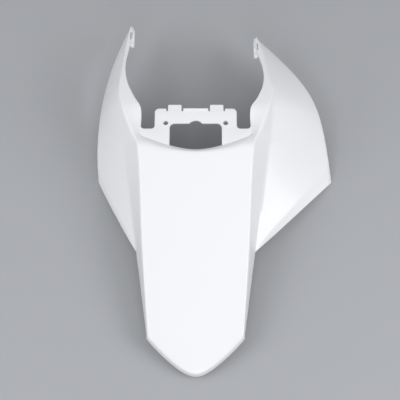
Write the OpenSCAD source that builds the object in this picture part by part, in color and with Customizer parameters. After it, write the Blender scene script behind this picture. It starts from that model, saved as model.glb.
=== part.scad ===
// Rear cover of an off-road motorcycle, one moulded shell of even wall.
// X to the rider's right, Y forward, Z up. The origin lies on the upper face of the seat
// plate, midway between its two screw holes.

/* [Tail] */
// Length from the screw holes back to the end of the tail
tail_len = 341; // [300:1:380]
// Width of the flat top where it meets the seat step
tail_front_w = 162; // [150:1:170]
// Width of the flat top at the shoulders of the point
tail_rear_w = 131; // [110:1:140]
// Length of the arrow-shaped point
point_len = 49; // [30:1:70]
// Fall of the tail towards its end, in degrees
tail_fall = 16; // [10:0.5:20]
// Height of the flat top above the seat plate, at the step
step_h = 6; // [4:0.5:10]
// Depth of the side walls at the step
side_front_h = 30; // [24:1:40]
// Depth of the side walls where the wings end
side_mid_h = 31; // [22:1:40]
// Depth of the rim round the point
rim_h = 10; // [7:1:15]
// How far the rim stands out from the top
rim_out = 2; // [2:0.5:5]
// Rise of the flat top across its middle
top_crown = 2; // [0:0.5:5]

/* [Wall] */
// Thickness of the moulded wall
wall = 3; // [2.5:0.1:4]

/* [Wings] */
// Distance of the left wing's lower corner from the middle
wing_left_x = 143; // [130:1:160]
// Distance of the right wing's lower corner from the middle
wing_right_x = 199; // [170:1:215]
// Depth of both lower corners below the seat plate
wing_drop = 93; // [75:1:105]
// Distance of both lower corners behind the screw holes
wing_corner_y = 52; // [35:1:70]
// Distance behind the screw holes at which the wings run into the tail
wing_end_y = 173; // [150:1:190]
// Drop of the border along the rear edge of a wing
border_drop = 5; // [0:0.5:8]
// Outward swell of the wings
wing_swell = 4; // [0:0.5:8]

/* [Arms] */
// Reach of the left arm in front of the screw holes
arm_left_y = 178; // [160:1:195]
// Reach of the right arm in front of the screw holes
arm_right_y = 159; // [145:1:185]
// How much further the tip of the right arm turns in than the left one
arm_turn_in = 8; // [0:1:12]
// Widest gap between the arms, where the seat sits
seat_gap_w = 203; // [190:1:210]
// Gap between the arms beside the seat plate
seat_neck_w = 154; // [148:1:160]
// Fall of the arms towards their tips
arm_fall = 36; // [20:1:50]

/* [Seat plate] */
// Thickness of the seat plate
plate_t = 3; // [2.5:0.5:5]
// Width of the seat plate between its notches
plate_w = 115; // [105:1:125]
// Reach of the seat plate in front of the screw holes
plate_front = 22; // [18:1:30]
// Spacing of the screw holes
hole_span = 84; // [75:1:90]
// Diameter of the screw holes
hole_d = 7; // [5:0.5:9]
// Width of the window
window_w = 73; // [50:1:74]
// Radius of the window's corners
window_r = 7; // [3:0.5:10]
// Depth of the notch on each side of the plate, measured back from its front edge
notch_len = 31; // [20:1:33]
// Width of the two tabs on the plate's front edge
tab_w = 19; // [12:1:22]
// Spacing of the two tabs
tab_span = 59; // [50:1:65]
// Reach of the tabs beyond the plate's front edge
tab_len = 6; // [3:0.5:10]
// Width of the slits beside the tabs
slit_w = 2.4; // [1.5:0.1:3]

/* [Lugs] */
// Length of the lug at the end of each arm
lug_len = 36; // [30:1:42]
// Width of the lug
lug_w = 7; // [6:0.5:9]
// Thickness of the lug
lug_t = 5; // [4:0.5:7]
// Length of the slot in the lug
lug_slot_len = 16; // [10:0.5:20]
// Width of the slot in the lug
lug_slot_w = 1.8; // [1.4:0.1:2.4]

/* [Hidden] */
$fn = 48;

LEFT = -1;
RIGHT = 1;

// The seat step: its foot is the crease in the plate and its head is the front of the flat top.
step_foot_mid = -40.5;
step_foot_side = -12.5;
step_head_mid = -46;
step_head_side = -35;
curve_power = 1.4;

// Rows of the skin, counted from the end of the tail forward.
rim_rows = 2;
tail_rows = 10;
wing_rows = 12;
step_rows = 2;
arm_rows = 15;
row_top = rim_rows;
row_join = row_top + tail_rows;
row_head = row_join + wing_rows;
row_foot = row_head + step_rows;
row_last = row_foot + arm_rows;
border_rows = 2;

// Columns of one half of the skin, counted from the middle outward.
top_cols = 5;
arm_cols = 2;
side_cols = 2;
wing_cols = 5;
col_arm = top_cols;
col_edge = col_arm + arm_cols;
col_crease = col_edge + side_cols;
col_last = col_crease + wing_cols;

tip_y = -(tail_len - rim_out);
point_y = tip_y + point_len;
// The foot of the step is buried this far in the plate, so that nothing overhangs the seat's face.
foot_bury = 0.6;
shelf_dip = step_h + foot_bury;
dip_held = 1;
dip_rows = 2;
shelf_w = 5;
edge_gap = 2;

// Widening of the arms' outer edge, beyond the flat top and then beyond the seat gap.
foot_flare = 9.5;
apex_flare = 5.5;
mid_flare = 2.5;
tip_taper = 6;
apex_y = 38;
neck_y = 20;

// Places along the seat side of an arm, as parts of its length in front of the neck, and how far
// its inner edge stands in from the widest gap there.
arm_len = arm_left_y - neck_y;
bend_part = 0.127;
bend_out = 10;
flare_part = 0.266;
flare_in = 5;
full_part = 0.405;
full_in = 0.5;
mid_part = 0.538;
close_part = 0.715;
arm_bow = 3;
close_in = 3.7;
tip_in = 8.5;

// Spread of the side wall's foot, and the part of its depth left at the foot of the step.
wing_end_out = 9.5;
step_out = 21;
foot_out = 15.5;
foot_depth = 0.72;
shoulder_part = 0.54;

// Fall of an arm: an even share and a share that grows towards the tip.
fall_power = 1.3;
fall_share = 0.18;
tip_drop = 4;
tip_back = 5;

// Handles of the curve along a wing's lower edge, from its corner and from the arm's tip.
left_low = [-8, 95, 40];
right_low = [-15, 111, 30];
left_high = [-30, -60, -10];
right_high = [93, -88, -10];

// Parts of that curve reached at the end of the wing's border and beside the widest point of the
// arms, so that the wing stays flat behind a soft bend there.
border_share = 0.065;
bend_share = 0.42;
bend_rows = 4;
crease_lead = 4;

// Seat plate details.
notch_y = plate_front - notch_len;
notch_r = 4;
plate_r = 6;
plate_grip = 3;
foot_steps = 24;
window_y = -1;
window_len = 60;
arch_h = 4.5;
arch_r = 11.5;
tab_root = 4;
slit_len = 4;
bead_w = 35;
bead_t = 3;
bead_h = 1.2;
boss_d = 14;
boss_h = 3;

// Lug details.
lug_back = 25;
lug_in_left = 4.1;
lug_in_right = 5.4;
lug_sink = 1;
lug_r = 3;
lug_lip = 2.5;
lug_hook = 5;
lug_slot_out = 2.3;
lug_slot_ahead = 4;
lug_rib_w = 3;
lug_rib_len = 20;
lug_rib_h = 1.6;

function mix(a, b, t) = a + (b - a) * t;
function unit(v) = v / norm(v);
function reach(side) = side == LEFT ? arm_left_y : arm_right_y;

// Smooth curve through guide points given as [position, value].
function slope_at(g, i) = let (a = max(i - 1, 0), b = min(i + 1, len(g) - 1))
    (g[b][1] - g[a][1]) / (g[b][0] - g[a][0]);
function span_of(g, y, i = 0) = i >= len(g) - 2 || y < g[i + 1][0] ? i : span_of(g, y, i + 1);
function guide(g, y) = let (i = span_of(g, y), h = g[i + 1][0] - g[i][0],
    t = min(max((y - g[i][0]) / h, 0), 1), s = t * t * (3 - 2 * t))
    mix(g[i][1], g[i + 1][1], s)
    + h * t * (1 - t) * ((1 - t) * slope_at(g, i) - t * slope_at(g, i + 1));

// Height of the flat top, and the fall of the arms in front of it.
function top_z(y) = step_h + (y - step_head_side) * tan(tail_fall);
function arm_z(y, side) = let (t = max(y - neck_y, 0) / (reach(side) - neck_y))
    step_h - arm_fall * (pow(t, fall_power) + fall_share * t);

// Edge between the flat top and the side wall.
edge_guide = [
    [point_y, tail_rear_w / 2],
    [-wing_end_y, mix(tail_rear_w, tail_front_w, shoulder_part) / 2],
    [step_head_side, tail_front_w / 2],
    [step_foot_side, tail_front_w / 2 + foot_flare],
    [apex_y, seat_gap_w / 2 + apex_flare],
    [neck_y + mid_part * arm_len, seat_gap_w / 2 + mid_flare],
    [arm_left_y, seat_gap_w / 2 - tip_taper]];
function turn_in(y, side) = side == LEFT ? 0
    : arm_turn_in * pow(max(y - apex_y, 0) / (arm_right_y - apex_y), 2);
function bow_in(y, side) = side == LEFT || y < apex_y ? 0
    : let (t = (y - apex_y) / (arm_right_y - apex_y)) arm_bow * 4 * t * (1 - t);
function along_arm(y, side) = y <= neck_y ? y
    : neck_y + (y - neck_y) * (arm_left_y - neck_y) / (reach(side) - neck_y);
function edge_x(y, side) = guide(edge_guide, along_arm(y, side)) - turn_in(y, side);
function edge_z(y, side) = y < step_head_side ? top_z(y) : arm_z(y, side);

// Inner edge of the arms, along the seat.
seat_guide = [
    [step_head_side, tail_front_w / 2 - shelf_w],
    [step_foot_side, seat_neck_w / 2],
    [neck_y, seat_neck_w / 2],
    [neck_y + bend_part * arm_len, seat_neck_w / 2 + bend_out],
    [neck_y + flare_part * arm_len, seat_gap_w / 2 - flare_in],
    [neck_y + full_part * arm_len, seat_gap_w / 2 - full_in],
    [neck_y + mid_part * arm_len, seat_gap_w / 2],
    [neck_y + close_part * arm_len, seat_gap_w / 2 - close_in],
    [arm_left_y, seat_gap_w / 2 - tip_in]];
function seat_x(y, side) = y < step_head_side ? edge_x(y, side) - shelf_w
    : guide(seat_guide, along_arm(y, side)) - turn_in(y, side) - bow_in(y, side);

// Crease at the foot of the side wall, which is also the lower rim of the tail.
crease_out = [
    [point_y, rim_out],
    [-wing_end_y, wing_end_out],
    [step_head_side, step_out],
    [step_foot_side, foot_out],
    [apex_y, edge_gap],
    [arm_left_y, edge_gap]];
crease_down = [
    [point_y, rim_h],
    [-wing_end_y, side_mid_h],
    [step_head_side, side_front_h],
    [step_foot_side, side_front_h * foot_depth],
    [apex_y, edge_gap],
    [arm_left_y, edge_gap]];

// Lower edge of a wing, from its corner to the tip of the arm.
function corner(side) = [side == LEFT ? -wing_left_x : wing_right_x, -wing_corner_y, -wing_drop];
function tip(side) = [side * (edge_x(reach(side), side) + edge_gap), reach(side),
    step_h - arm_fall * (1 + fall_share) - tip_drop];
function bend_low(side) = corner(side) + (side == LEFT ? left_low : right_low);
function bend_high(side) = tip(side) + (side == LEFT ? left_high : right_high);
function bezier(a, b, c, d, t) = a * pow(1 - t, 3) + b * 3 * t * pow(1 - t, 2)
    + c * 3 * t * t * (1 - t) + d * pow(t, 3);
edge_pace = [[row_join, 0], [row_join + border_rows, border_share],
    [row_foot + bend_rows, bend_share], [row_last, 1]];
function wing_edge(side, t) = bezier(corner(side), bend_low(side), bend_high(side), tip(side), t);

// Position along the tail of each row, in the middle and at the edge.
function row_part(r) = let (join = (point_y + wing_end_y) / (point_y - step_head_side))
    r <= row_join ? mix(0, join, (r - row_top) / tail_rows)
    : mix(join, 1, (r - row_join) / wing_rows);
function row_mid(r) = r <= row_top ? tip_y
    : r <= row_head ? mix(tip_y, step_head_mid, row_part(r))
    : mix(step_head_mid, step_foot_mid, (r - row_head) / step_rows);
function row_edge(r, side) = r <= row_top ? point_y
    : r <= row_head ? mix(point_y, step_head_side, row_part(r))
    : r <= row_foot ? mix(step_head_side, step_foot_side, (r - row_head) / step_rows)
    : mix(step_foot_side, reach(side) - tip_back, (r - row_foot) / arm_rows);
function row_y(r, x, side) = r > row_foot ? row_edge(r, side)
    : mix(row_mid(r), row_edge(r, side), pow(x / edge_x(row_edge(r, side), side), curve_power));

// The rim curls down and out round the point: 0 on the flat top, 1 at its lower edge.
function rim_part(r) = max(row_top - r, 0) / rim_rows;
function rim_turn(r) = rim_out * pow(rim_part(r), 2);

// Share of the rim's turn that goes sideways, and backward at the sides of the point.
rim_spread = 0.6;
rim_lag = 0.7;
rim_end = 0.3;
rim_tuck = 0.85;

// The seat side of the arms dips where it meets the foot of the step: 1 at the foot, 0 away from it.
function dip_part(r) = r <= row_foot ? max(r - row_head, 0) / step_rows
    : min(max(1 - (r - row_foot - dip_held) / dip_rows, 0), 1);

// Points of the flat top and of the step in front of it.
function top_point(r, u, side) = let (
    x = u * seat_x(row_edge(r, side), side),
    y = row_y(r, x, side),
    flat = max(r - row_head, 0) / step_rows,
    swell = top_crown * (1 - u * u) * (1 - flat),
    foot = flat < 1 ? mix(-foot_bury, step_h - shelf_dip * dip_part(r), pow(u, 6)) : -foot_bury)
    [side * (x + rim_turn(r) * rim_spread * u), y - rim_turn(r) * mix(1, rim_lag, u),
        mix(top_z(y) + swell, foot, flat) - rim_h * rim_part(r)];

// Points of the strip between the seat side and the edge: flat on the tail, a shelf on the arms.
function shelf_point(r, u, side) = let (
    e = row_edge(r, side),
    x = mix(seat_x(e, side), edge_x(e, side), u),
    y = row_y(r, x, side),
    out = r > row_head ? edge_z(e, side) : top_z(y))
    [side * (x + rim_turn(r) * rim_spread), y - rim_turn(r) * mix(rim_lag, rim_end, u),
        out - rim_h * rim_part(r) - shelf_dip * dip_part(r) * (1 - u)];

function crease_point(r, side) = let (e = row_edge(r, side))
    [side * (edge_x(e, side) + guide(crease_out, e) * mix(1, rim_tuck, rim_part(r))),
        e + crease_lead * (1 - rim_part(r)), edge_z(e, side) - guide(crease_down, e)];

function side_point(r, u, side) = mix(shelf_point(r, 1, side), crease_point(r, side), u);

// Points of a wing: straight from the crease to the lower edge, with a swell and a dropped border.
function wing_point(r, v, side) = let (
    t = guide(edge_pace, r),
    low = wing_edge(side, t),
    high = crease_point(r, side),
    out = unit([side * (high[2] - low[2]), 0, side * (low[0] - high[0])]),
    border = max(1 - (r - row_join) / border_rows, 0))
    mix(high, low, v) + out * wing_swell * 4 * v * (1 - v) * (1 - t)
        - [0, 0, border_drop * border * min(4 * v, 1) * (1 - v * 0.5)];

function half_point(r, c, side) =
    c < col_arm ? top_point(r, c / top_cols, side)
    : c <= col_edge ? shelf_point(r, (c - col_arm) / arm_cols, side)
    : c <= col_crease ? side_point(r, (c - col_edge) / side_cols, side)
    : wing_point(max(r, row_join), (c - col_crease) / wing_cols, side);

cols = 2 * col_last + 1;
function skin_point(r, c) = c < col_last ? half_point(r, col_last - c, LEFT)
    : half_point(r, c - col_last, RIGHT);

// A cell of the skin exists where the moulding has material.
function half_cell(r, c) = c < col_arm ? r < row_foot
    : c < col_crease ? true
    : r >= row_join;
function cell(r, c) = r >= 0 && r < row_last && c >= 0 && c < cols - 1
    && half_cell(r, c < col_last ? col_last - 1 - c : c - col_last);

// Cells on each side that share in the direction of the wall, so that the inner face has no folds.
near_rows = 2;
near_cols = 3;
function face_normal(p, r, c) = unit(cross(p[r][c + 1] - p[r][c], p[r + 1][c] - p[r][c])
    + cross(p[r + 1][c] - p[r + 1][c + 1], p[r][c + 1] - p[r + 1][c + 1]));
function total(v, i = 0) = i >= len(v) ? [0, 0, 0] : v[i] + total(v, i + 1);
function near_normal(p, r, c) = unit(total([
    for (i = [r - near_rows:r + near_rows - 1], j = [c - near_cols:c + near_cols - 1])
    if (cell(i, j)) face_normal(p, i, j)]));
function used(r, c) = cell(r, c) || cell(r - 1, c) || cell(r, c - 1) || cell(r - 1, c - 1);

// The skin as one closed solid: outer face, inner face and the edges between them.
module skin() {
    outer = [for (r = [0:row_last]) [for (c = [0:cols - 1]) skin_point(r, c)]];
    inner = [for (r = [0:row_last]) [for (c = [0:cols - 1])
        used(r, c) ? outer[r][c] - wall * near_normal(outer, r, c) : outer[r][c]]];
    kept = [for (r = [0:row_last], c = [0:cols - 1]) if (used(r, c)) [r, c]];
    first = [for (r = [0:row_last]) let (n = len([for (k = kept) if (k[0] < r) 1])) n];
    count = len(kept);
    order = [for (r = [0:row_last]) [for (c = [0:cols - 1])
        first[r] + len([for (j = [0:1:c - 1]) if (used(r, j)) 1])]];
    points = [for (k = kept) outer[k[0]][k[1]], for (k = kept) inner[k[0]][k[1]]];
    faces = [for (r = [0:row_last - 1], c = [0:cols - 2]) if (cell(r, c))
        let (a = order[r][c], b = order[r][c + 1], d = order[r + 1][c], e = order[r + 1][c + 1])
        each concat(
            c < col_last ? [[a, d, b], [b, d, e]] : [[a, d, e], [a, e, b]],
            c < col_last ? [[a + count, b + count, d + count], [b + count, e + count, d + count]]
                : [[a + count, e + count, d + count], [a + count, b + count, e + count]],
            cell(r - 1, c) ? [] : [[a, b, b + count], [a, b + count, a + count]],
            cell(r + 1, c) ? [] : [[e, d, d + count], [e, d + count, e + count]],
            cell(r, c - 1) ? [] : [[d, a, a + count], [d, a + count, d + count]],
            cell(r, c + 1) ? [] : [[b, e, e + count], [b, e + count, b + count]])];
    polyhedron(points, faces);
}

// Foot of the seat step across the plate.
function foot_y(x) = mix(step_foot_mid, step_foot_side,
    pow(min(abs(x) / edge_x(step_foot_side, LEFT), 1), curve_power));

module rounded_rect(size, r) {
    translate([-size[0] / 2 + r, -size[1] / 2 + r]) union() {
        translate([-r, 0]) square([size[0], size[1] - 2 * r]);
        translate([0, -r]) square([size[0] - 2 * r, size[1]]);
        for (x = [0, size[0] - 2 * r], y = [0, size[1] - 2 * r]) translate([x, y]) circle(r);
    }
}

module plate_outline() {
    reach_x = seat_neck_w / 2 + plate_grip;
    step = 2 * reach_x / foot_steps;
    polygon(concat(
        [for (x = [-reach_x:step:reach_x + 0.01]) [x, foot_y(x) - plate_grip]],
        [[reach_x, notch_y], [-reach_x, notch_y]]));
    translate([0, (plate_front + notch_y) / 2 - notch_r])
        rounded_rect([plate_w, plate_front - notch_y + 2 * notch_r], plate_r);
    for (s = [LEFT, RIGHT]) translate([s * plate_w / 2, notch_y]) difference() {
        translate([s > 0 ? 0 : -notch_r, 0]) square(notch_r);
        translate([s * notch_r, notch_r]) circle(notch_r);
    }
}

module window_outline() {
    translate([0, window_y - window_len / 2]) rounded_rect([window_w, window_len], window_r);
    translate([0, window_y + arch_h - arch_r]) circle(arch_r);
}

module tabs_outline() {
    for (s = [LEFT, RIGHT]) translate([s * tab_span / 2 - tab_w / 2, plate_front - tab_root])
        square([tab_w, tab_root + tab_len]);
}

module slits_outline() {
    for (s = [LEFT, RIGHT], e = [-1, 1])
        translate([s * tab_span / 2 + e * (tab_w + slit_w) / 2 - slit_w / 2, plate_front - slit_len])
            square([slit_w, slit_len + tab_len]);
}

// Flat plate under the seat's rear edge, with its window, tabs and notches.
module seat_plate() {
    translate([0, 0, -plate_t]) linear_extrude(plate_t) difference() {
        union() {
            plate_outline();
            tabs_outline();
        }
        window_outline();
        slits_outline();
    }
    translate([-bead_w / 2, plate_front - bead_t, -bead_h]) cube([bead_w, bead_t, 2 * bead_h]);
    for (s = [LEFT, RIGHT]) translate([s * hole_span / 2, 0, -plate_t - boss_h])
        cylinder(d = boss_d, h = boss_h + plate_t / 2);
}

// Places its children on the seat side of an arm's tip, along the arm's fall.
module at_lug(side) {
    y = reach(side) - lug_back;
    fall = atan2(arm_z(y + lug_len / 4, side) - arm_z(y - lug_len / 4, side), lug_len / 2);
    x = edge_x(y, side) - (side == LEFT ? lug_in_left : lug_in_right);
    translate([side * x, y, arm_z(y, side) - lug_sink]) rotate([fall, 0, 0])
        mirror([side > 0 ? 1 : 0, 0, 0]) children();
}

// Lug with a rib and a hooked lip, for the clip of the next panel.
module arm_lug() {
    translate([0, 0, -lug_t]) linear_extrude(lug_t) rounded_rect([lug_w, lug_len], lug_r);
    translate([lug_w / 2 - lug_rib_w, lug_len / 2 - lug_r - lug_rib_len, -lug_t / 2])
        cube([lug_rib_w, lug_rib_len, lug_rib_h + lug_t / 2]);
    translate([lug_w / 2 - lug_lip, -lug_len / 2 + 2 * lug_r, -lug_t - lug_hook])
        cube([lug_lip, lug_len / 2 - 2 * lug_r, lug_hook + lug_t / 2]);
}

// Slot between the lug and the arm.
module lug_slot() {
    translate([-lug_slot_out, lug_slot_ahead, -lug_t - wall / 2]) linear_extrude(lug_t + 2 * wall)
        rounded_rect([lug_slot_w, lug_slot_len], lug_slot_w / 2 - 0.1);
}

module screw_holes() {
    for (s = [LEFT, RIGHT]) translate([s * hole_span / 2, 0, -plate_t - boss_h - 1])
        cylinder(d = hole_d, h = plate_t + boss_h + 2);
}

module rear_cover() {
    color("white") difference() {
        union() {
            skin();
            seat_plate();
            for (side = [LEFT, RIGHT]) at_lug(side) arm_lug();
        }
        for (side = [LEFT, RIGHT]) at_lug(side) lug_slot();
        screw_holes();
    }
}

rear_cover();
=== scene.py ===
# Rear cover of an off-road motorcycle: one moulded shell in gloss white plastic.
import bpy
import bmesh
import math
import numpy as np
from mathutils import Matrix, Vector


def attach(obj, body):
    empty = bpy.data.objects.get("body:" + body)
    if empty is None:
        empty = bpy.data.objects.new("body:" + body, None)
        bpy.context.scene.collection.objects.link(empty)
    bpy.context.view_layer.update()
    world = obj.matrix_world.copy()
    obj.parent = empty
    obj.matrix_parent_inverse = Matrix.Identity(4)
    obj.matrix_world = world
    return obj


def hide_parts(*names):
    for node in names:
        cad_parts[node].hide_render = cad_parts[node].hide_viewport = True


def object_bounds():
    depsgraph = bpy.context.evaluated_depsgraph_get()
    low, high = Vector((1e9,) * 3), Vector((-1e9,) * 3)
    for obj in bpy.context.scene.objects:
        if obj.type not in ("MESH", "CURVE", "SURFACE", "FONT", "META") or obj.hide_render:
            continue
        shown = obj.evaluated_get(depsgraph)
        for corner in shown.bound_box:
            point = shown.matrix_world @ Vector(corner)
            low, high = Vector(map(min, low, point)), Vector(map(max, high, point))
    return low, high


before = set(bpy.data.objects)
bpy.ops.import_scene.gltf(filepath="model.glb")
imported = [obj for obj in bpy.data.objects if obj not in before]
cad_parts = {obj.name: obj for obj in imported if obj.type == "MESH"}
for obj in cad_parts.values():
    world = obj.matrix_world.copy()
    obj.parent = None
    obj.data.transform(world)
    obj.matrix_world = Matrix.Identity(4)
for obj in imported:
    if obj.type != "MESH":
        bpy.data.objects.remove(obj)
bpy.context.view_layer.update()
print("frame loaded:", len(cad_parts), "node")

left = -1
right = 1
millimetre = 0.001
tiny = 1e-9

# The moulded skin, all in millimetres from the middle between the screw holes
skinSizes = {
    "tailLength": 341.0,
    "tailFrontWidth": 162.0,
    "tailRearWidth": 131.0,
    "pointLength": 49.0,
    "tailFall": 16.0,          # degrees
    "stepHeight": 6.0,
    "sideFrontDepth": 30.0,
    "sideMidDepth": 31.0,
    "rimDepth": 10.0,
    "rimOut": 2.0,
    "topCrown": 2.0,
    "wall": 3.0,
    "wingLeftX": 143.0,
    "wingRightX": 199.0,
    "wingDrop": 93.0,
    "wingCornerY": 52.0,
    "wingEndY": 173.0,
    "borderDrop": 5.0,
    "borderLeft": 1.3,         # width of the border strips at the corners, in rows
    "borderRight": 2.0,
    "borderEnd": 0.6,
    "wingSwell": 4.0,
    "armLeftY": 178.0,
    "armRightY": 159.0,
    "armTurnIn": 8.0,
    "armBow": 3.0,
    "seatGap": 203.0,
    "seatNeck": 154.0,
    "armFall": 36.0,
    "stepFootMid": -40.5,
    "stepFootSide": -12.5,
    "stepHeadMid": -46.0,
    "stepHeadSide": -35.0,
    "curvePower": 1.4,         # bend of the lines across the tail
    "noseRound": 0.12,         # rounding of their middle, at the point and at the step
    "stepRound": 0.26,
    "apexY": 38.0,             # the crease of the side wall runs out into the edge here
    "neckY": 20.0,             # the arms start to fall here
    "edgeGap": 2.0,            # between the edge and the crease along the arms
    "shelfWidth": 5.0,
    "footBury": 0.6,           # the foot of the step lies this far inside the plate
    "dipHeld": 1.0,            # rows in front of the step over which the shelf stays down, then rises
    "dipRows": 2.0,
}

# How finely the skin is laid out: stations from the end of the tail forward, and from the middle out
skinLayout = {
    "rimRows": 2, "tailRows": 10, "wingRows": 12, "stepRows": 2, "armRows": 15,
    "topCols": 5, "shelfCols": 2, "sideCols": 2, "wingCols": 5,
    "rimSteps": 3, "tailSteps": 4, "wingSteps": 4, "stepSteps": 5, "armSteps": 3,
    "topSteps": 3, "shelfSteps": 3, "sideSteps": 4, "wingColSteps": 5,
    "softenPasses": 6,
    "shoulderPasses": 5,
    "shoulderRows": 3,         # how far forward of the rim the shoulders are eased
    "normalPasses": 6,
    "edgeRound": 0.9,
    "edgeSegments": 3,
    "edgeAngle": 55.0,         # degrees; edges that turn more than this are rounded
}

# Shares and offsets that lead the skin's guide curves, beside the sizes above
skinGuides = {
    "fallPower": 1.3,          # how the fall of an arm gathers towards its tip
    "fallEven": 0.18,          # the share of it that is added evenly
    "tailSpread": 0.54,        # the share of the tail's widening reached at the wings' rear end
    "edgeOutFoot": 9.5,        # the outer edge beside the foot of the step
    "edgeOutApex": 5.5,        # and outside the seat gap at the apex, along the arm and at its tip
    "edgeOutArm": 2.5,
    "edgeInTip": 6.0,
    "neckEnd": 0.127,          # the neck opens here, as a share of the arm's length
    "neckOpen": 10.0,
    "gapWidest": 0.538,
    "gapOpens": ((0.266, 5.0), (0.405, 0.5)),     # share of the arm, distance inside the widest gap
    "gapCloses": ((0.715, 3.7), (1.0, 8.5)),
    "creaseOutRear": 9.5,      # the crease outside the edge, at the wings' rear end and at the step
    "creaseOutHead": 21.0,
    "creaseOutFoot": 15.5,
    "creaseDownFoot": 0.72,
    "creaseAhead": 4.0,
    "paceRearRows": 2,         # rows past the wings' rear end, and the share of the lower edge behind them
    "paceRear": 0.065,
    "paceNeckRows": 4,         # the same past the foot of the step
    "paceNeck": 0.42,
    # handles of the wings' lower edge, from its rear corner and from the arm's tip
    "cornerLead": {left: (-8, 95, 40), right: (-15, 111, 30)},
    "tipLead": {left: (-30, -60, -10), right: (93, -88, -10)},
    "tipDrop": 4.0,            # of the wing below the arm's tip
    "tipBack": 5.0,            # of the last row behind the arm's reach
    "footPower": 6,            # how late the foot of the step rises to the shelf
    "rimSpread": 0.6,          # how the rim's overhang turns sideways and fades towards the sides
    "rimFade": 0.3,
    "rimShelfFade": 0.4,
    "rimCreaseIn": 0.15,
    "borderRise": 4,           # the border strips reach full depth in a quarter of the wing
    "borderFade": 0.5,
}

size = skinSizes
guides = skinGuides
tipY = -(size["tailLength"] - size["rimOut"])
pointY = tipY + size["pointLength"]
rowTop = skinLayout["rimRows"]
rowJoin = rowTop + skinLayout["tailRows"]
rowHead = rowJoin + skinLayout["wingRows"]
rowFoot = rowHead + skinLayout["stepRows"]
rowLast = rowFoot + skinLayout["armRows"]
colArm = skinLayout["topCols"]
colEdge = colArm + skinLayout["shelfCols"]
colCrease = colEdge + skinLayout["sideCols"]
colLast = colCrease + skinLayout["wingCols"]


def mix(a, b, t):
    return a + (b - a) * t


def reach(side):
    return size["armLeftY"] if side == left else size["armRightY"]


def guideValue(guide, y):
    # smooth curve through a few (position, value) pairs
    last = len(guide) - 1
    slopes = []
    for i in range(last + 1):
        a, b = guide[max(i - 1, 0)], guide[min(i + 1, last)]
        slopes.append((b[1] - a[1]) / (b[0] - a[0]))
    i = 0
    while i < last - 1 and y >= guide[i + 1][0]:
        i += 1
    span = guide[i + 1][0] - guide[i][0]
    t = min(max((y - guide[i][0]) / span, 0.0), 1.0)
    ease = t * t * (3 - 2 * t)
    return mix(guide[i][1], guide[i + 1][1], ease) \
        + span * t * (1 - t) * ((1 - t) * slopes[i] - t * slopes[i + 1])


def topZ(y):
    return size["stepHeight"] + (y - size["stepHeadSide"]) * math.tan(math.radians(size["tailFall"]))


def armZ(y, side):
    t = max(y - size["neckY"], 0) / (reach(side) - size["neckY"])
    fall = size["armFall"]
    return size["stepHeight"] - fall * t ** guides["fallPower"] - fall * guides["fallEven"] * t


halfFront = size["tailFrontWidth"] / 2
halfRear = size["tailRearWidth"] / 2
halfGap = size["seatGap"] / 2
halfNeck = size["seatNeck"] / 2

shelfDip = size["stepHeight"] + size["footBury"]


def armSpot(part):
    # a place along the left arm, as a part of its length in front of the neck
    return size["neckY"] + part * (size["armLeftY"] - size["neckY"])


edgeGuide = [
    (pointY, halfRear),
    (-size["wingEndY"], mix(halfRear, halfFront, guides["tailSpread"])),
    (size["stepHeadSide"], halfFront),
    (size["stepFootSide"], halfFront + guides["edgeOutFoot"]),
    (size["apexY"], halfGap + guides["edgeOutApex"]),
    (armSpot(guides["gapWidest"]), halfGap + guides["edgeOutArm"]),
    (size["armLeftY"], halfGap - guides["edgeInTip"])]
seatGuide = [
    (size["stepHeadSide"], halfFront - size["shelfWidth"]),
    (size["stepFootSide"], halfNeck),
    (size["neckY"], halfNeck),
    (armSpot(guides["neckEnd"]), halfNeck + guides["neckOpen"])]
seatGuide += [(armSpot(share), halfGap - inward) for share, inward in guides["gapOpens"]]
seatGuide += [(armSpot(guides["gapWidest"]), halfGap)]
seatGuide += [(armSpot(share), halfGap - inward) for share, inward in guides["gapCloses"]]
creaseOut = [
    (pointY, size["rimOut"]),
    (-size["wingEndY"], guides["creaseOutRear"]),
    (size["stepHeadSide"], guides["creaseOutHead"]),
    (size["stepFootSide"], guides["creaseOutFoot"]),
    (size["apexY"], size["edgeGap"]),
    (size["armLeftY"], size["edgeGap"])]
creaseDown = [
    (pointY, size["rimDepth"]),
    (-size["wingEndY"], size["sideMidDepth"]),
    (size["stepHeadSide"], size["sideFrontDepth"]),
    (size["stepFootSide"], size["sideFrontDepth"] * guides["creaseDownFoot"]),
    (size["apexY"], size["edgeGap"]),
    (size["armLeftY"], size["edgeGap"])]
edgePace = [
    (rowJoin, 0),
    (rowJoin + guides["paceRearRows"], guides["paceRear"]),
    (rowFoot + guides["paceNeckRows"], guides["paceNeck"]),
    (rowLast, 1)]


def turnIn(y, side):
    if side == left:
        return 0.0
    part = max(y - size["apexY"], 0) / (size["armRightY"] - size["apexY"])
    return size["armTurnIn"] * part ** 2


def bowIn(y, side):
    if side == left or y < size["apexY"]:
        return 0.0
    t = (y - size["apexY"]) / (size["armRightY"] - size["apexY"])
    return size["armBow"] * 4 * t * (1 - t)


def alongArm(y, side):
    # the place on the left arm that matches this one
    if y <= size["neckY"]:
        return y
    stretch = (y - size["neckY"]) * (size["armLeftY"] - size["neckY"]) / (reach(side) - size["neckY"])
    return size["neckY"] + stretch


def edgeX(y, side):
    return guideValue(edgeGuide, alongArm(y, side)) - turnIn(y, side)


def edgeZ(y, side):
    return topZ(y) if y < size["stepHeadSide"] else armZ(y, side)


def seatX(y, side):
    if y < size["stepHeadSide"]:
        return edgeX(y, side) - size["shelfWidth"]
    return guideValue(seatGuide, alongArm(y, side)) - turnIn(y, side) - bowIn(y, side)


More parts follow.
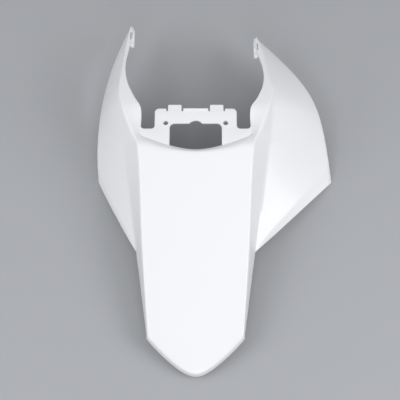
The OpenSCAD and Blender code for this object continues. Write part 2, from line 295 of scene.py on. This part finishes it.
def wingEdge(side, t):
    # the lower edge of a wing, one curve from its rear corner to the arm's tip
    wide = -size["wingLeftX"] if side == left else size["wingRightX"]
    corner = np.array([wide, -size["wingCornerY"], -size["wingDrop"]])
    tipZ = size["stepHeight"] - size["armFall"] * (1 + guides["fallEven"]) - guides["tipDrop"]
    tip = np.array([side * (edgeX(reach(side), side) + size["edgeGap"]), reach(side), tipZ])
    low = corner + np.array(guides["cornerLead"][side])
    high = tip + np.array(guides["tipLead"][side])
    return corner * (1 - t) ** 3 + low * 3 * t * (1 - t) ** 2 + high * 3 * t * t * (1 - t) + tip * t ** 3


def curvePart(x, rounding):
    # 0 in the middle, 1 at the edge
    half, e = size["curvePower"] / 2, rounding ** 2
    return ((x * x + e) ** half - e ** half) / ((1 + e) ** half - e ** half)


def rowPart(r):
    join = (pointY + size["wingEndY"]) / (pointY - size["stepHeadSide"])
    if r <= rowJoin:
        return mix(0, join, (r - rowTop) / skinLayout["tailRows"])
    return mix(join, 1, (r - rowJoin) / skinLayout["wingRows"])


def rowMid(r):
    if r <= rowTop:
        return tipY
    if r <= rowHead:
        return mix(tipY, size["stepHeadMid"], rowPart(r))
    return mix(size["stepHeadMid"], size["stepFootMid"], (r - rowHead) / skinLayout["stepRows"])


def rowEdge(r, side):
    if r <= rowTop:
        return pointY
    if r <= rowHead:
        return mix(pointY, size["stepHeadSide"], rowPart(r))
    if r <= rowFoot:
        return mix(size["stepHeadSide"], size["stepFootSide"], (r - rowHead) / skinLayout["stepRows"])
    tip = reach(side) - guides["tipBack"]
    return mix(size["stepFootSide"], tip, (r - rowFoot) / skinLayout["armRows"])


def rowY(r, x, side):
    if r > rowFoot:
        return rowEdge(r, side)
    rounding = mix(size["noseRound"], size["stepRound"], min(max(rowPart(r), 0), 1))
    return mix(rowMid(r), rowEdge(r, side), curvePart(x / edgeX(rowEdge(r, side), side), rounding))


def rimPart(r):
    return max(rowTop - r, 0) / skinLayout["rimRows"]


def rimTurn(r):
    return size["rimOut"] * rimPart(r) ** 2


def dipPart(r):
    if r <= rowFoot:
        return max(r - rowHead, 0) / skinLayout["stepRows"]
    return min(max(1 - (r - rowFoot - size["dipHeld"]) / size["dipRows"], 0), 1)


def topPoint(r, u, side):
    x = u * seatX(rowEdge(r, side), side)
    y = rowY(r, x, side)
    flat = max(r - rowHead, 0) / skinLayout["stepRows"]
    swell = size["topCrown"] * (1 - u * u) * (1 - flat)
    foot = mix(-size["footBury"], size["stepHeight"] - shelfDip * dipPart(r), u ** guides["footPower"])
    return np.array([side * (x + rimTurn(r) * guides["rimSpread"] * u),
                     y - rimTurn(r) * (1 - guides["rimFade"] * u),
                     mix(topZ(y) + swell, foot, flat) - size["rimDepth"] * rimPart(r)])


def shelfPoint(r, u, side):
    e = rowEdge(r, side)
    x = mix(seatX(e, side), edgeX(e, side), u)
    y = rowY(r, x, side)
    out = edgeZ(e, side) if r > rowHead else topZ(y)
    return np.array([side * (x + rimTurn(r) * guides["rimSpread"]),
                     y - rimTurn(r) * (1 - guides["rimFade"] - guides["rimShelfFade"] * u),
                     out - size["rimDepth"] * rimPart(r) - shelfDip * dipPart(r) * (1 - u)])


def creasePoint(r, side):
    e = rowEdge(r, side)
    out = guideValue(creaseOut, e) * (1 - guides["rimCreaseIn"] * rimPart(r))
    return np.array([side * (edgeX(e, side) + out),
                     e + guides["creaseAhead"] * (1 - rimPart(r)),
                     edgeZ(e, side) - guideValue(creaseDown, e)])


def wingPoint(r, v, side):
    t = guideValue(edgePace, r)
    low = wingEdge(side, t)
    high = creasePoint(r, side)
    out = np.array([side * (high[2] - low[2]), 0, side * (low[0] - high[0])])
    out = out / np.linalg.norm(out)
    width = mix(size["borderEnd"], size["borderLeft"] if side == left else size["borderRight"], v)
    border = max(1 - (r - rowJoin) / width, 0)
    strip = min(guides["borderRise"] * v, 1) * (1 - v * guides["borderFade"])
    drop = size["borderDrop"] * border * strip
    swell = out * size["wingSwell"] * 4 * v * (1 - v) * (1 - t)
    return mix(high, low, v) + swell - np.array([0, 0, drop])


def halfPoint(r, c, side):
    if c < colArm:
        return topPoint(r, c / colArm, side)
    if c <= colEdge:
        return shelfPoint(r, (c - colArm) / (colEdge - colArm), side)
    if c <= colCrease:
        return mix(shelfPoint(r, 1, side), creasePoint(r, side), (c - colEdge) / (colCrease - colEdge))
    return wingPoint(max(r, rowJoin), (c - colCrease) / (colLast - colCrease), side)


def stations(parts):
    # finer stations inside each stretch of the layout
    values = [0.0]
    for count, steps in parts:
        start = values[-1]
        values += [start + (i + 1) / steps for i in range(count * steps)]
    return values


def layOutSkin():
    layout = skinLayout
    rows = stations([(layout[part + "Rows"], layout[part + "Steps"])
                     for part in ("rim", "tail", "wing", "step", "arm")])
    half = stations([(layout["topCols"], layout["topSteps"]),
                     (layout["shelfCols"], layout["shelfSteps"]),
                     (layout["sideCols"], layout["sideSteps"]),
                     (layout["wingCols"], layout["wingColSteps"])])
    cols = [(left, c) for c in reversed(half[1:])] + [(right, c) for c in half]
    points = np.array([[halfPoint(r, c, side) for side, c in cols] for r in rows])
    cells = np.zeros((len(rows) - 1, len(cols) - 1), bool)
    for i in range(len(rows) - 1):
        r = (rows[i] + rows[i + 1]) / 2
        for j in range(len(cols) - 1):
            c = (cols[j][1] + cols[j + 1][1]) / 2
            if c < colArm:
                cells[i, j] = r < rowFoot
            elif c < colCrease:
                cells[i, j] = True
            else:
                cells[i, j] = r > rowJoin
    soft = np.array([c < colCrease for side, c in cols])
    return points, cells, soft


def addAround(total, cells):
    # adds the value of every cell to its four corners
    for i in (0, 1):
        for j in (0, 1):
            total[i:i + cells.shape[0], j:j + cells.shape[1]] += cells


def softenFolds(points, cells, soft, passes):
    # rounds the folds of the top as a mould does; free edges, creases and wings stay as they are
    # a point with four cells around it is no free edge
    used = np.zeros(points.shape[:2], int)
    addAround(used, cells)
    inside = ((used == 4) & soft[None, :])[:, :, None]
    for _ in range(passes):
        around = np.zeros_like(points)
        ahead, behind = points[2:, 1:-1], points[:-2, 1:-1]
        around[1:-1, 1:-1] = (behind + ahead + points[1:-1, :-2] + points[1:-1, 2:]) / 4
        points = np.where(inside, mix(points, around, 0.5), points)
    return points


def roundShoulders(points, cells, passes):
    # eases the corners of the lower rim where the side walls meet the point
    layout = skinLayout
    walls = [j for j in range(cells.shape[1]) if cells[0, j]]
    first, end = walls[0], walls[-1] + 1
    last = layout["rimRows"] * layout["rimSteps"] + layout["shoulderRows"] * layout["tailSteps"]
    path = [(i, first) for i in range(last, 0, -1)] \
        + [(0, j) for j in range(first, end + 1)] \
        + [(i, end) for i in range(1, last + 1)]
    rim = np.array([points[spot] for spot in path])
    for _ in range(passes):
        rim[1:-1] = mix(rim[1:-1], (rim[:-2] + rim[2:]) / 2, 0.5)
    for spot, place in zip(path, rim):
        points[spot] = place
    return points


def unitVectors(vectors):
    return vectors / np.maximum(np.linalg.norm(vectors, axis=2, keepdims=True), tiny)


def skinNormals(points, cells):
    # the averaged direction of the surface at every point, so that the wall keeps its thickness
    a, b = points[:-1, :-1], points[:-1, 1:]
    c, d = points[1:, :-1], points[1:, 1:]
    normals = np.zeros_like(points)
    addAround(normals, unitVectors(np.cross(d - a, c - b) * cells[:, :, None]))
    for _ in range(skinLayout["normalPasses"]):
        spread = normals.copy()
        spread[1:] += normals[:-1]
        spread[:-1] += normals[1:]
        spread[:, 1:] += normals[:, :-1]
        spread[:, :-1] += normals[:, 1:]
        normals = unitVectors(spread)
    return normals


def linkedObject(name, data):
    made = bpy.data.objects.new(name, data)
    bpy.context.scene.collection.objects.link(made)
    return made


def evaluatedMesh(piece):
    # the piece as it looks with its modifiers, as a mesh of its own
    return bpy.data.meshes.new_from_object(piece.evaluated_get(bpy.context.evaluated_depsgraph_get()))


def meshFrom(name, vertices, faces):
    mesh = bpy.data.meshes.new(name)
    mesh.from_pydata([tuple(v) for v in vertices], [], faces)
    mesh.validate()
    return mesh


def makeSkin():
    points, cells, soft = layOutSkin()
    points = roundShoulders(points, cells, skinLayout["shoulderPasses"])
    points = softenFolds(points, cells, soft, skinLayout["softenPasses"])
    inner = points - skinNormals(points, cells) * size["wall"]
    rowCount, colCount = points.shape[:2]
    index = {}
    vertices = []

    def corner(layer, i, j):
        key = (layer, i, j)
        if key not in index:
            index[key] = len(vertices)
            vertices.append((points if layer == 0 else inner)[i, j] * millimetre)
        return index[key]

    def present(i, j):
        return 0 <= i < cells.shape[0] and 0 <= j < cells.shape[1] and cells[i, j]

    faces = []
    for i in range(rowCount - 1):
        for j in range(colCount - 1):
            if not cells[i, j]:
                continue
            ring = [(i, j), (i, j + 1), (i + 1, j + 1), (i + 1, j)]
            faces.append([corner(0, *p) for p in ring])
            faces.append([corner(1, *p) for p in reversed(ring)])
            beside = [(i - 1, j), (i, j + 1), (i + 1, j), (i, j - 1)]
            for k in range(4):
                if not present(*beside[k]):
                    p, q = ring[k], ring[(k + 1) % 4]
                    faces.append([corner(0, *q), corner(0, *p), corner(1, *p), corner(1, *q)])
    return meshFrom("skinShell", vertices, faces)


skinMesh = makeSkin()
print("skin laid out:", len(skinMesh.polygons), "faces")

# The seat plate between the arms, cut out of flat wall
plateSizes = {
    "thickness": 3.0,
    "width": 115.0,
    "front": 22.0,
    "notchLength": 31.0,
    "notchRadius": 5.0,
    "cornerRadius": 6.0,
    "grip": 3.0,               # how far it runs under the step
    "windowWidth": 73.0,
    "windowY": -1.0,
    "windowRadius": 7.0,
    "archHeight": 4.5,
    "archRadius": 11.5,
    "holeSpan": 84.0,
    "holeDiameter": 7.0,
    "tabWidth": 19.0,
    "tabSpan": 59.0,
    "tabLength": 6.0,
    "slitWidth": 2.4,
    "slitLength": 4.0,
    "tabRadius": 1.5,
    "edgeRound": 0.5,
    "beadWidth": 35.0,
    "beadDepth": 3.0,
    "beadHeight": 1.2,
    "arcSteps": 6,             # how finely the small arcs, the arch, the holes and the rear are divided
    "tabSteps": 4,
    "archSteps": 10,
    "holeSteps": 40,
    "rearSteps": 10,
    "sheetSteps": 2,           # and the rounded edges of sheets and blocks
    "blockSteps": 3,
}


def arcPoints(x, y, r, start, end, count=plateSizes["arcSteps"]):
    turns = [math.radians(mix(start, end, i / count)) for i in range(count + 1)]
    return [(x + r * math.cos(a), y + r * math.sin(a)) for a in turns]


def footY(x):
    # the foot of the step, as in the skin
    part = min(abs(x) / edgeX(size["stepFootSide"], left), 1)
    return mix(size["stepFootMid"], size["stepFootSide"], curvePart(part, size["stepRound"]))


def tabOutline():
    # one tab with its two slits, from the outer end to the inner end
    p = plateSizes
    inner = p["tabSpan"] / 2 - p["tabWidth"] / 2
    outer = p["tabSpan"] / 2 + p["tabWidth"] / 2
    top = p["front"] + p["tabLength"]
    slit = p["slitWidth"]
    slitY = p["front"] - p["slitLength"] + slit / 2
    r = p["tabRadius"]
    steps = p["tabSteps"]
    return [(outer + slit, p["front"])] \
        + arcPoints(outer + slit / 2, slitY, slit / 2, 0, -180) \
        + arcPoints(outer - r, top - r, r, 0, 90, steps) \
        + arcPoints(inner + r, top - r, r, 90, 180, steps) \
        + arcPoints(inner - slit / 2, slitY, slit / 2, 0, -180) \
        + [(inner - slit, p["front"])]


def windowOutline():
    # the front of the window with its small arch
    p = plateSizes
    half = p["windowWidth"] / 2
    r = p["windowRadius"]
    y = p["windowY"] - r
    arch = p["archRadius"]
    archHalf = math.degrees(math.acos((arch - p["archHeight"]) / arch))
    archY = p["windowY"] + p["archHeight"] - arch
    return arcPoints(-half + r, y, r, 180, 90) \
        + arcPoints(0, archY, arch, 90 + archHalf, 90 - archHalf, p["archSteps"]) \
        + arcPoints(half - r, y, r, 90, 0)


def plateOutline():
    p = plateSizes
    reachX = halfNeck + p["grip"]
    window = p["windowWidth"] / 2
    steps = p["rearSteps"]
    rearX = [mix(window, reachX, i / steps) for i in range(steps + 1)]
    rear = [(x, footY(x) - p["grip"]) for x in rearX]
    r = p["notchRadius"]
    notchY = p["front"] - p["notchLength"] + r
    half = p["width"] / 2
    notch = [(reachX, notchY)] \
        + arcPoints(halfNeck - r, notchY, r, 0, -90) \
        + arcPoints(half + r, notchY, r, 270, 180)
    r = p["cornerRadius"]
    front = arcPoints(half - r, p["front"] - r, r, 0, 90)
    rightHalf = rear + notch + front + tabOutline()
    leftHalf = [(-x, y) for x, y in reversed(rightHalf)]
    return rightHalf + leftHalf + windowOutline()


def sheetFromOutlines(name, outlines, thickness, edgeRound):
    # a flat piece of even thickness with rounded edges, its upper face at height 0
    curve = bpy.data.curves.new(name, "CURVE")
    curve.dimensions = "2D"
    curve.fill_mode = "BOTH"
    curve.extrude = (thickness / 2 - edgeRound) * millimetre
    curve.bevel_depth = edgeRound * millimetre
    curve.bevel_resolution = plateSizes["sheetSteps"]
    curve.offset = -edgeRound * millimetre
    for outline in outlines:
        spline = curve.splines.new("POLY")
        spline.points.add(len(outline) - 1)
        for point, (x, y) in zip(spline.points, outline):
            point.co = (x * millimetre, y * millimetre, 0, 1)
        spline.use_cyclic_u = True
    sheet = linkedObject(name, curve)
    mesh = evaluatedMesh(sheet)
    bpy.data.objects.remove(sheet)
    bpy.data.curves.remove(curve)
    for v in mesh.vertices:
        v.co.z -= thickness / 2 * millimetre
    return mesh


def roundedBlock(low, high, edgeRound):
    # a block between two corners, in millimetres, with rounded edges
    block = bmesh.new()
    bmesh.ops.create_cube(block, size=1)
    for v in block.verts:
        v.co = Vector([mix(low[k], high[k], v.co[k] + 0.5) * millimetre for k in range(3)])
    bmesh.ops.bevel(block, geom=block.edges[:], offset=edgeRound * millimetre,
                    segments=plateSizes["blockSteps"], profile=0.5, affect="EDGES")
    mesh = bpy.data.meshes.new("block")
    block.to_mesh(mesh)
    block.free()
    return mesh


def makePlate():
    p = plateSizes
    holes = [arcPoints(side * p["holeSpan"] / 2, 0, p["holeDiameter"] / 2, 0, 360, p["holeSteps"])[:-1]
             for side in (left, right)]
    plate = sheetFromOutlines("plate", [plateOutline()] + holes, p["thickness"], p["edgeRound"])
    bead = roundedBlock((-p["beadWidth"] / 2, p["front"] - p["beadDepth"], -p["beadHeight"]),
                        (p["beadWidth"] / 2, p["front"], p["beadHeight"]), p["edgeRound"])
    return [plate, bead]


# The lugs on the seat side of the arm tips
lugSizes = {
    "length": 36.0,
    "width": 7.0,
    "thickness": 5.0,
    "radius": 3.0,
    "back": 25.0,              # behind the arm's tip, inside its outer edge, below its upper face
    "inLeft": 4.1,
    "inRight": 5.4,
    "sink": 1.0,
    "slotLength": 16.0,
    "slotWidth": 1.8,
    "slotOut": 2.3,
    "slotAhead": 4.0,
    "slotFlat": 0.1,           # what the slot's round ends leave straight
    "slotAbove": 4.5,
    "ribWidth": 3.0,
    "ribLength": 20.0,
    "ribHeight": 1.6,
    "lip": 2.5,
    "hook": 5.0,
    "edgeRound": 0.5,
}


def roundedOutline(x, y, width, length, r):
    w, h = width / 2 - r, length / 2 - r
    return arcPoints(x + w, y + h, r, 0, 90) + arcPoints(x - w, y + h, r, 90, 180) \
        + arcPoints(x - w, y - h, r, 180, 270) + arcPoints(x + w, y - h, r, 270, 360)


def placeAtLug(mesh, side):
    # from the lug's own frame to the seat side of the arm's tip, along the arm's fall
    g = lugSizes
    y = reach(side) - g["back"]
    part = g["length"] / 4
    fall = math.atan2(armZ(y + part, side) - armZ(y - part, side), 2 * part)
    x = side * (edgeX(y, side) - (g["inLeft"] if side == left else g["inRight"]))
    flip = Matrix.Diagonal((-1 if side == right else 1, 1, 1, 1))
    mesh.transform(Matrix.Translation(Vector((x, y, armZ(y, side) - g["sink"])) * millimetre)
                   @ Matrix.Rotation(fall, 4, "X") @ flip)
    if side == right:
        mesh.flip_normals()
    return mesh


def slotOutline():
    g = lugSizes
    r = g["slotWidth"] / 2 - g["slotFlat"]
    return roundedOutline(-g["slotOut"], g["slotAhead"], g["slotWidth"], g["slotLength"], r)


def makeLug(side):
    g = lugSizes
    half, depth, edge = g["width"] / 2, g["thickness"], g["edgeRound"]
    padOutline = roundedOutline(0, 0, g["width"], g["length"], g["radius"])
    pad = sheetFromOutlines("lug", [padOutline, slotOutline()], depth, edge)
    ribEnd = g["length"] / 2 - g["radius"]
    rib = roundedBlock((half - g["ribWidth"], ribEnd - g["ribLength"], -depth / 2),
                       (half, ribEnd, g["ribHeight"]), edge)
    hookStart = -g["length"] / 2 + 2 * g["radius"]
    hook = roundedBlock((half - g["lip"], hookStart, -depth - g["hook"]), (half, 0, -depth / 2), edge)
    return [placeAtLug(mesh, side) for mesh in (pad, rib, hook)]


def slotCutter(side):
    # cuts the lug's slot through the arm too
    outline = slotOutline()
    count = len(outline)
    low, high = -lugSizes["thickness"] - size["wall"] / 2, lugSizes["slotAbove"]
    vertices = [(x * millimetre, y * millimetre, z * millimetre)
                for z in (low, high) for x, y in outline]
    faces = [list(reversed(range(count))), list(range(count, 2 * count))]
    faces += [[i, (i + 1) % count, count + (i + 1) % count, count + i] for i in range(count)]
    return placeAtLug(meshFrom("slot", vertices, faces), side)


# The collars round the screw holes, under the plate
collarSizes = {
    "outer": 14.0,
    "hole": 7.0,
    "height": 3.0,
    "overlap": 1.0,            # how far they reach into the plate
    "edgeRound": 0.5,
    "edgeSteps": 3,
    "ringSteps": 48,
}


def mathNode(tree, operation, first, second):
    # a sum whose two inputs are each an output of another node or a plain number
    node = tree.nodes.new("ShaderNodeMath")
    node.operation = operation
    for socket, value in zip(node.inputs, (first, second)):
        if isinstance(value, bpy.types.NodeSocket):
            tree.links.new(value, socket)
        else:
            socket.default_value = value
    return node.outputs[0]


def collarTree(material):
    c = collarSizes
    tree = bpy.data.node_groups.new("screwCollars", "GeometryNodeTree")
    sockets = {}
    for name in ("Outer radius", "Hole radius", "Height", "Span", "Top"):
        socket = tree.interface.new_socket(name, in_out="INPUT", socket_type="NodeSocketFloat")
        sockets[name] = socket.identifier
    tree.interface.new_socket("Geometry", in_out="OUTPUT", socket_type="NodeSocketGeometry")
    nodes, links = tree.nodes, tree.links
    given = nodes.new("NodeGroupInput").outputs
    result = nodes.new("NodeGroupOutput")
    # ring: a rectangular section swept round a circle
    middle = mathNode(tree, "ADD", given["Outer radius"], given["Hole radius"])
    path = nodes.new("GeometryNodeCurvePrimitiveCircle")
    path.inputs["Resolution"].default_value = c["ringSteps"]
    links.new(mathNode(tree, "MULTIPLY", middle, 0.5), path.inputs["Radius"])
    across = mathNode(tree, "SUBTRACT", given["Outer radius"], given["Hole radius"])
    section = nodes.new("GeometryNodeCurvePrimitiveQuadrilateral")
    links.new(across, section.inputs["Width"])
    links.new(given["Height"], section.inputs["Height"])
    softSection = nodes.new("GeometryNodeFilletCurve")
    softSection.mode = "POLY"
    softSection.inputs["Count"].default_value = c["edgeSteps"]
    softSection.inputs["Radius"].default_value = c["edgeRound"] * millimetre
    links.new(section.outputs["Curve"], softSection.inputs["Curve"])
    sweep = nodes.new("GeometryNodeCurveToMesh")
    links.new(path.outputs["Curve"], sweep.inputs["Curve"])
    links.new(softSection.outputs["Curve"], sweep.inputs["Profile Curve"])
    # one ring at each end of the span
    spots = nodes.new("GeometryNodeMeshLine")
    spots.mode = "END_POINTS"
    spots.inputs["Count"].default_value = 2
    spread = mathNode(tree, "MULTIPLY", given["Span"], 0.5)
    mirrored = mathNode(tree, "MULTIPLY", spread, -1)
    for value, end in ((mirrored, "Start Location"), (spread, "Offset")):
        place = nodes.new("ShaderNodeCombineXYZ")
        links.new(value, place.inputs["X"])
        links.new(given["Top"], place.inputs["Z"])
        links.new(place.outputs["Vector"], spots.inputs[end])
    rings = nodes.new("GeometryNodeInstanceOnPoints")
    links.new(spots.outputs["Mesh"], rings.inputs["Points"])
    links.new(sweep.outputs["Mesh"], rings.inputs["Instance"])
    solid = nodes.new("GeometryNodeRealizeInstances")
    links.new(rings.outputs["Instances"], solid.inputs["Geometry"])
    finish = nodes.new("GeometryNodeSetMaterial")
    finish.inputs["Material"].default_value = material
    links.new(solid.outputs["Geometry"], finish.inputs["Geometry"])
    links.new(finish.outputs["Geometry"], result.inputs["Geometry"])
    return tree, sockets


def makeCollars(material):
    c = collarSizes
    tree, sockets = collarTree(material)
    holder = linkedObject("collars", bpy.data.meshes.new("collars"))
    rings = holder.modifiers.new("collars", "NODES")
    rings.node_group = tree
    rings[sockets["Outer radius"]] = c["outer"] / 2 * millimetre
    rings[sockets["Hole radius"]] = c["hole"] / 2 * millimetre
    rings[sockets["Height"]] = (c["height"] + c["overlap"]) * millimetre
    rings[sockets["Span"]] = plateSizes["holeSpan"] * millimetre
    rings[sockets["Top"]] = (-plateSizes["thickness"] - (c["height"] - c["overlap"]) / 2) * millimetre
    mesh = evaluatedMesh(holder)
    bpy.data.objects.remove(holder)
    return mesh


# Gloss white moulded plastic
plasticFinish = {
    "colour": (0.875, 0.88, 0.895),
    "shadeColour": (0.862, 0.868, 0.884),
    "refraction": 1.49,
    "coat": 0.25,
    "coatRough": 0.12,
    "driftScale": 7,
    "driftDetail": 10,
    "driftRough": 0.68,
    "driftLow": 0.3,           # where the drift is at its least and at its most
    "driftHigh": 0.7,
    "roughLow": 0.28,
    "roughHigh": 0.33,
    "scuffTurn": (0.1, 0.2, 0.6),
    "scuffStretch": (260, 14, 60),
    "scuffDetail": 6,
    "scuffFrom": 0.62,         # only the peaks of the noise show as scuffs
    "scuffFull": 0.72,
    "scuffStrength": 0.02,
    "rippleScale": 260.0,
    "rippleDetail": 2,
    "rippleHeight": 0.012,
    "rippleDepth": 0.001,
}


def setInputs(node, values):
    for name, value in values.items():
        node.inputs[name].default_value = value
    return node


def glossWhitePlastic():
    f = plasticFinish
    material = bpy.data.materials.new("glossWhitePlastic")
    material.use_nodes = True
    tree = material.node_tree
    nodes, links = tree.nodes, tree.links
    shader = nodes["Principled BSDF"]
    setInputs(shader, {
        "IOR": f["refraction"], "Coat Weight": f["coat"], "Coat Roughness": f["coatRough"]})
    place = nodes.new("ShaderNodeTexCoord").outputs["Object"]

    # broad unevenness of the moulding: colour and gloss drift slowly over the surface
    drift = setInputs(nodes.new("ShaderNodeTexNoise"), {
        "Scale": f["driftScale"], "Detail": f["driftDetail"], "Roughness": f["driftRough"]})
    links.new(place, drift.inputs["Vector"])
    tint = nodes.new("ShaderNodeMix")
    tint.data_type = "RGBA"
    setInputs(tint, {"A": (*f["shadeColour"], 1), "B": (*f["colour"], 1)})
    links.new(drift.outputs["Fac"], tint.inputs["Factor"])
    gloss = setInputs(nodes.new("ShaderNodeMapRange"), {
        "From Min": f["driftLow"], "From Max": f["driftHigh"],
        "To Min": f["roughLow"], "To Max": f["roughHigh"]})
    links.new(drift.outputs["Fac"], gloss.inputs["Value"])

    # fine handling scuffs, long and thin
    stretch = setInputs(nodes.new("ShaderNodeMapping"), {
        "Rotation": f["scuffTurn"], "Scale": f["scuffStretch"]})
    links.new(place, stretch.inputs["Vector"])
    scuffs = setInputs(nodes.new("ShaderNodeTexNoise"), {"Scale": 1, "Detail": f["scuffDetail"]})
    links.new(stretch.outputs["Vector"], scuffs.inputs["Vector"])
    sparse = setInputs(nodes.new("ShaderNodeMapRange"), {
        "From Min": f["scuffFrom"], "From Max": f["scuffFull"], "To Max": f["scuffStrength"]})
    links.new(scuffs.outputs["Fac"], sparse.inputs["Value"])

    # faint ripple of the mould's polished face
    ripple = setInputs(nodes.new("ShaderNodeTexNoise"), {
        "Scale": f["rippleScale"], "Detail": f["rippleDetail"]})
    links.new(place, ripple.inputs["Vector"])
    bump = setInputs(nodes.new("ShaderNodeBump"), {
        "Strength": f["rippleHeight"], "Distance": f["rippleDepth"]})
    links.new(ripple.outputs["Fac"], bump.inputs["Height"])

    rough = mathNode(tree, "ADD", gloss.outputs["Result"], sparse.outputs["Result"])
    links.new(tint.outputs["Result"], shader.inputs["Base Color"])
    links.new(rough, shader.inputs["Roughness"])
    links.new(bump.outputs["Normal"], shader.inputs["Normal"])
    return material


# The whole cover, joined from its meshes
coverSizes = {
    "mergeDistance": 1e-6,     # metres
    "sharpAngle": 40.0,        # degrees; flatter edges than this are shaded smooth
}


def joinMeshes(name, meshes, material):
    whole = bmesh.new()
    for mesh in meshes:
        whole.from_mesh(mesh)
        bpy.data.meshes.remove(mesh)
    bmesh.ops.remove_doubles(whole, verts=whole.verts, dist=coverSizes["mergeDistance"])
    mesh = bpy.data.meshes.new(name)
    whole.to_mesh(mesh)
    whole.free()
    mesh.materials.clear()
    mesh.materials.append(material)
    for polygon in mesh.polygons:
        polygon.material_index = 0
    return linkedObject(name, mesh)


def roundedSkin(mesh):
    # the skin with the lugs' slots cut through it and its free edges rounded
    piece = linkedObject("skin", mesh)
    cutters = []
    for side in (left, right):
        cutter = linkedObject("slot", slotCutter(side))
        cutters.append(cutter)
        cut = piece.modifiers.new("slot", "BOOLEAN")
        cut.operation = "DIFFERENCE"
        cut.solver = "MANIFOLD"
        cut.object = cutter
    bevel = piece.modifiers.new("edges", "BEVEL")
    bevel.limit_method = "ANGLE"
    bevel.angle_limit = math.radians(skinLayout["edgeAngle"])
    bevel.width = skinLayout["edgeRound"] * millimetre
    bevel.segments = skinLayout["edgeSegments"]
    rounded = evaluatedMesh(piece)
    for spent in [piece] + cutters:
        bpy.data.objects.remove(spent)
    return rounded


plastic = glossWhitePlastic()
parts = [roundedSkin(skinMesh)] + makePlate() + makeLug(left) + makeLug(right) + [makeCollars(plastic)]
cover = joinMeshes("rearCover", parts, plastic)
cover.data.shade_smooth()
cover.data.set_sharp_from_angle(angle=math.radians(coverSizes["sharpAngle"]))
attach(cover, "root")
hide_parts("rear_cover")
print("cover built:", len(cover.data.polygons), "faces")

# Floor, light and camera
stageSizes = {
    "floorColour": (0.4, 0.41, 0.43),
    "floorRough": 0.55,
    "floorHalf": 4,
    "worldColour": (0.86, 0.87, 0.89),
    "worldStrength": 0.43,
    "lampTarget": (0, -0.08, 0),
    "lamps": {                 # place, width, power
        "over": ((0.15, -0.5, 2.0), 1.6, 4.2),
        "right": ((1.5, -0.5, 1.2), 1.2, 15.5),
        "left": ((-1.5, -0.4, 1.3), 1.4, 14.5),
        "behind": ((0.0, -1.9, 1.3), 1.4, 9.5),
    },
    "cameraPlace": (0.006, -0.6028, 1.2682),
    "cameraTilt": 21.0,
    "lens": 90.0,
    "sensor": 36,
    "viewEnd": 50,
}


def makeFloor():
    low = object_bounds()[0][2]
    half = stageSizes["floorHalf"]
    corners = [(-half, -half, low), (half, -half, low), (half, half, low), (-half, half, low)]
    mesh = meshFrom("floor", corners, [(0, 1, 2, 3)])
    floor = linkedObject("floor", mesh)
    material = bpy.data.materials.new("paleFloor")
    material.use_nodes = True
    setInputs(material.node_tree.nodes["Principled BSDF"], {
        "Base Color": (*stageSizes["floorColour"], 1), "Roughness": stageSizes["floorRough"]})
    mesh.materials.append(material)


def addLamp(name, place, width, power):
    data = bpy.data.lights.new(name, "AREA")
    data.shape = "DISK"
    data.size = width
    data.energy = power
    lamp = linkedObject(name, data)
    lamp.location = place
    aim = Vector(stageSizes["lampTarget"]) - Vector(place)
    lamp.rotation_euler = aim.to_track_quat("-Z", "Y").to_euler()


def addCamera():
    data = bpy.data.cameras.new("camera")
    data.sensor_width = stageSizes["sensor"]
    data.lens = stageSizes["lens"]
    data.clip_end = stageSizes["viewEnd"]
    camera = linkedObject("camera", data)
    camera.location = stageSizes["cameraPlace"]
    camera.rotation_euler = (math.radians(stageSizes["cameraTilt"]), 0, 0)
    bpy.context.scene.camera = camera


def setWorld():
    world = bpy.data.worlds.new("studio")
    world.use_nodes = True
    setInputs(world.node_tree.nodes["Background"], {
        "Color": (*stageSizes["worldColour"], 1), "Strength": stageSizes["worldStrength"]})
    bpy.context.scene.world = world


makeFloor()
for name, (place, width, power) in stageSizes["lamps"].items():
    addLamp(name, place, width, power)
addCamera()
setWorld()
bpy.context.scene.view_settings.view_transform = "Standard"
print("stage set")
